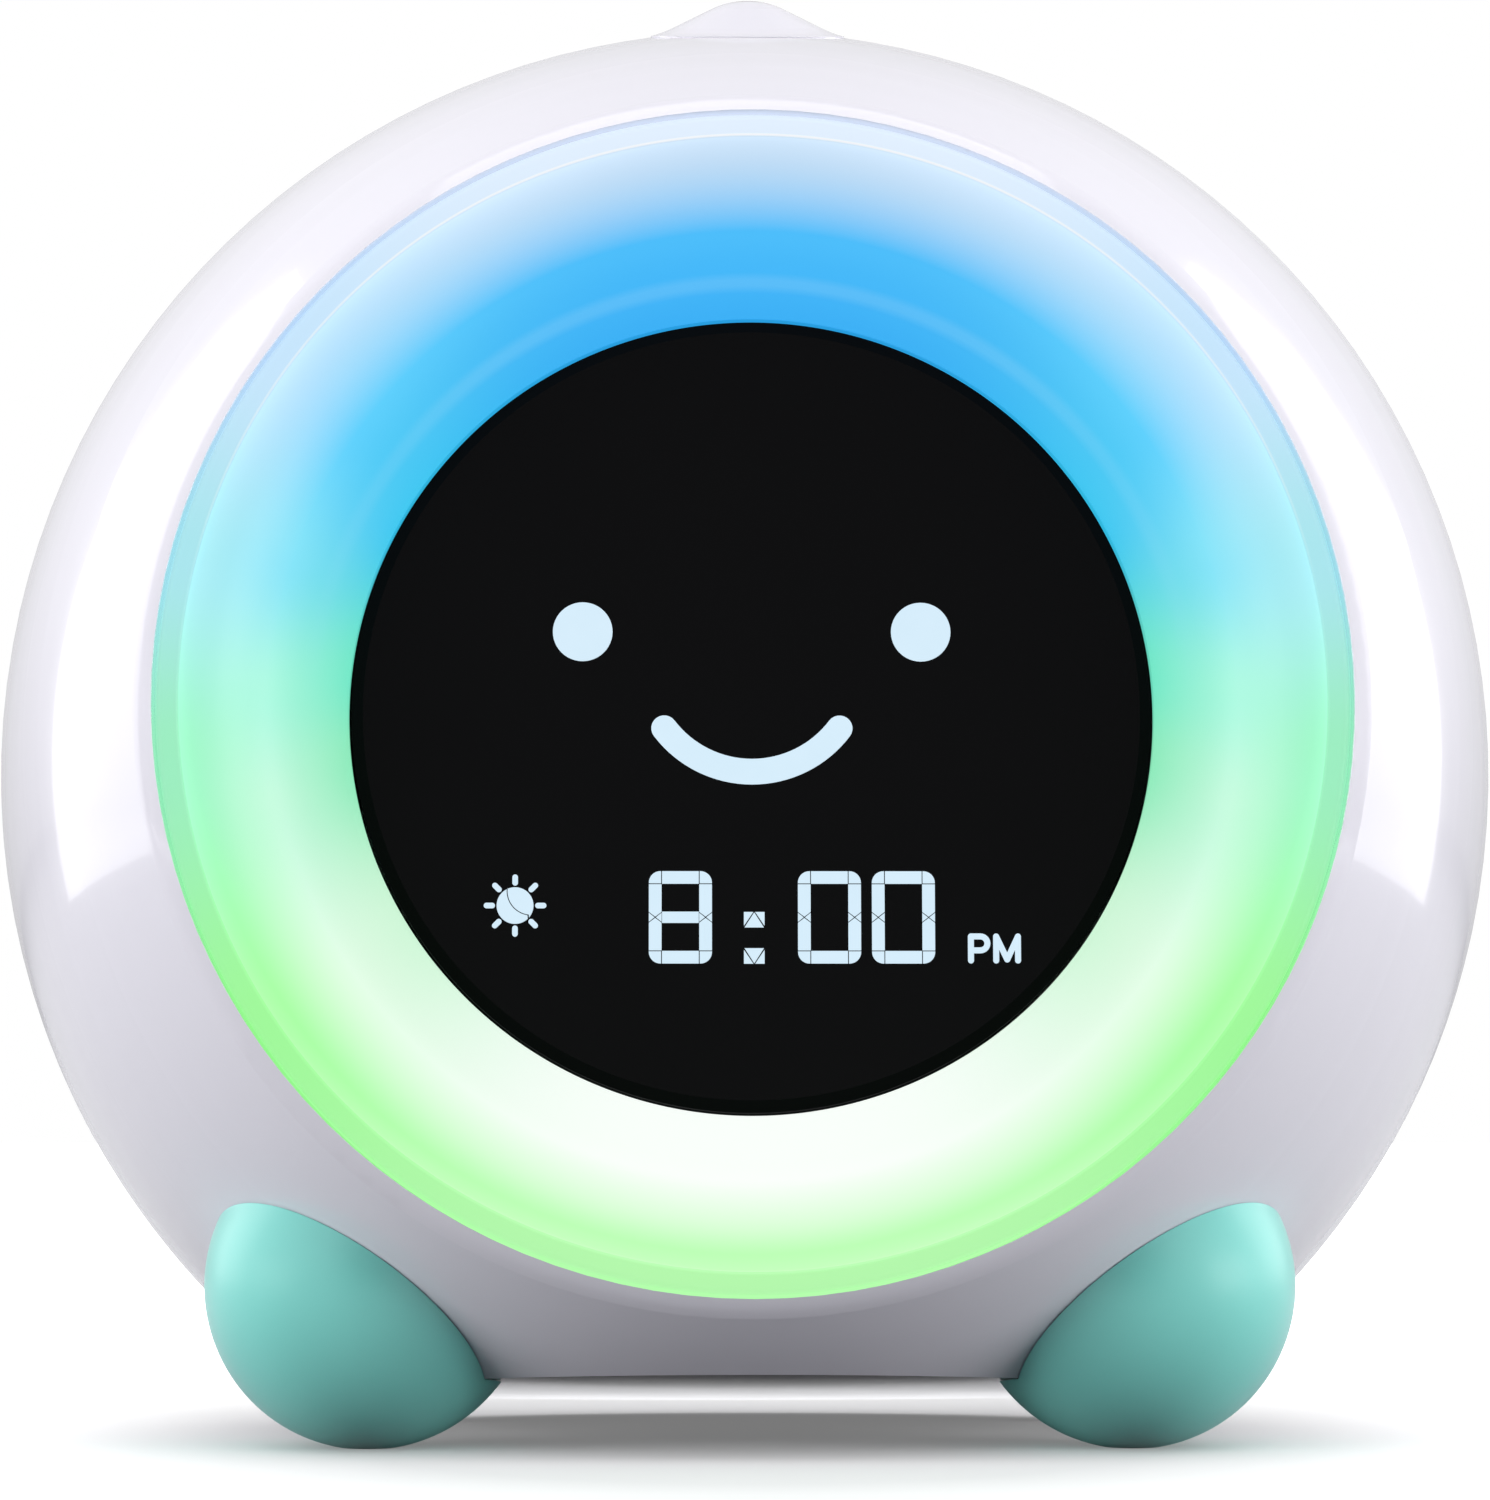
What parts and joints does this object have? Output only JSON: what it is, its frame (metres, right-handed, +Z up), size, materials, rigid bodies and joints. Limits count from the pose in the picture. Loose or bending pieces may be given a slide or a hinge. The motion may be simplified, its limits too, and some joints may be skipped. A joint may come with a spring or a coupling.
{
  "type": "kids alarm clock with night light",
  "caption": "Round white bedside alarm clock on two coloured ball feet, with a dished light ring around a black display, a top button and a rear battery door.",
  "frame": {"origin": "middle of the bounding box on the surface that the clock stands on", "axes": "+Z up, -Y towards the viewer of the display, +X to that viewer's right; the round case leans back by 5 degrees about X"},
  "size_m": [0.16, 0.1014, 0.1514],
  "materials": {
    "case_white": "glossy white ABS",
    "ring_milky": "milky translucent diffuser, lit from inside",
    "tray_white": "matt white",
    "lens_black": "black smoked acrylic, satin",
    "black_plastic": "matt black",
    "light_guide": "ice-blue light guides",
    "foot_mint": "satin turquoise",
    "rubber_dark": "soft anti-slip pads",
    "board_green": "green solder mask on fibreglass",
    "board_white": "white solder mask",
    "lamp_yellow": "surface-mount lamps",
    "part_black": "moulded electronic parts",
    "steel": "plated steel",
    "magnet_grey": "ferrite and steel",
    "cone_black": "pressed film",
    "ribbon_cream": "flat flexible cable",
    "cell_gold": "plain jacket"
  },
  "bodies": {
    "case": {"front_shell": "case_white", "rear_shell": "case_white", "light_ring": "ring_milky", "ring_reflector": "tray_white", "ring_screws": "steel", "lamp_board": "board_white", "lamps": "lamp_yellow", "display_lens": "lens_black", "display_cup": "black_plastic", "segment_mask": "black_plastic", "segment_lights": "light_guide", "display_board": "board_green", "display_ribbon": "ribbon_cream", "main_board": "board_green", "board_parts": "part_black", "board_screws": "steel", "button_switch": "part_black", "switch_bracket": "board_green", "key_boards": "board_green", "key_switches": "part_black", "key_board_screws": "steel", "speaker_basket": "steel", "speaker_cone": "cone_black", "speaker_magnet": "magnet_grey", "speaker_gasket": "rubber_dark", "battery_box": "tray_white", "battery_cells": "cell_gold", "battery_plates": "steel", "battery_springs": "steel", "power_socket": "steel", "power_board": "board_green", "case_screws": "steel", "left_foot": "foot_mint", "right_foot": "foot_mint", "foot_screws": "steel", "rear_pads": "rubber_dark"},
    "snooze": {"top_button": "case_white", "button_clip": "steel"},
    "key_left_low": {"left_key_low": "case_white"},
    "key_left_mid": {"left_key_mid": "case_white"},
    "key_left_high": {"left_key_high": "case_white"},
    "key_right_low": {"right_key_low": "case_white"},
    "key_right_mid": {"right_key_mid": "case_white"},
    "key_right_high": {"right_key_high": "case_white"},
    "door": {"battery_door": "case_white", "door_screw": "steel"}
  },
  "joints": [
    {"name": "snooze_press", "type": "slide", "parent": "case", "child": "snooze", "axis": [0, 0.1908, -0.9816], "range_m": [0, 0.001], "stiffness_N_per_m": 300},
    {"name": "key_left_low_press", "type": "slide", "parent": "case", "child": "key_left_low", "axis": [0, -0.9962, 0.0872], "range_m": [0, 0.0006], "stiffness_N_per_m": 400},
    {"name": "key_left_mid_press", "type": "slide", "parent": "case", "child": "key_left_mid", "axis": [0, -0.9962, 0.0872], "range_m": [0, 0.0006], "stiffness_N_per_m": 400},
    {"name": "key_left_high_press", "type": "slide", "parent": "case", "child": "key_left_high", "axis": [0, -0.9962, 0.0872], "range_m": [0, 0.0006], "stiffness_N_per_m": 400},
    {"name": "key_right_low_press", "type": "slide", "parent": "case", "child": "key_right_low", "axis": [0, -0.9962, 0.0872], "range_m": [0, 0.0006], "stiffness_N_per_m": 400},
    {"name": "key_right_mid_press", "type": "slide", "parent": "case", "child": "key_right_mid", "axis": [0, -0.9962, 0.0872], "range_m": [0, 0.0006], "stiffness_N_per_m": 400},
    {"name": "key_right_high_press", "type": "slide", "parent": "case", "child": "key_right_high", "axis": [0, -0.9962, 0.0872], "range_m": [0, 0.0006], "stiffness_N_per_m": 400},
    {"name": "door_tilt", "type": "hinge", "parent": "case", "child": "door", "pos_m": [0, 0.04356, 0.0325], "axis": [-1, 0, 0], "range_deg": [0, 70]}
  ]
}
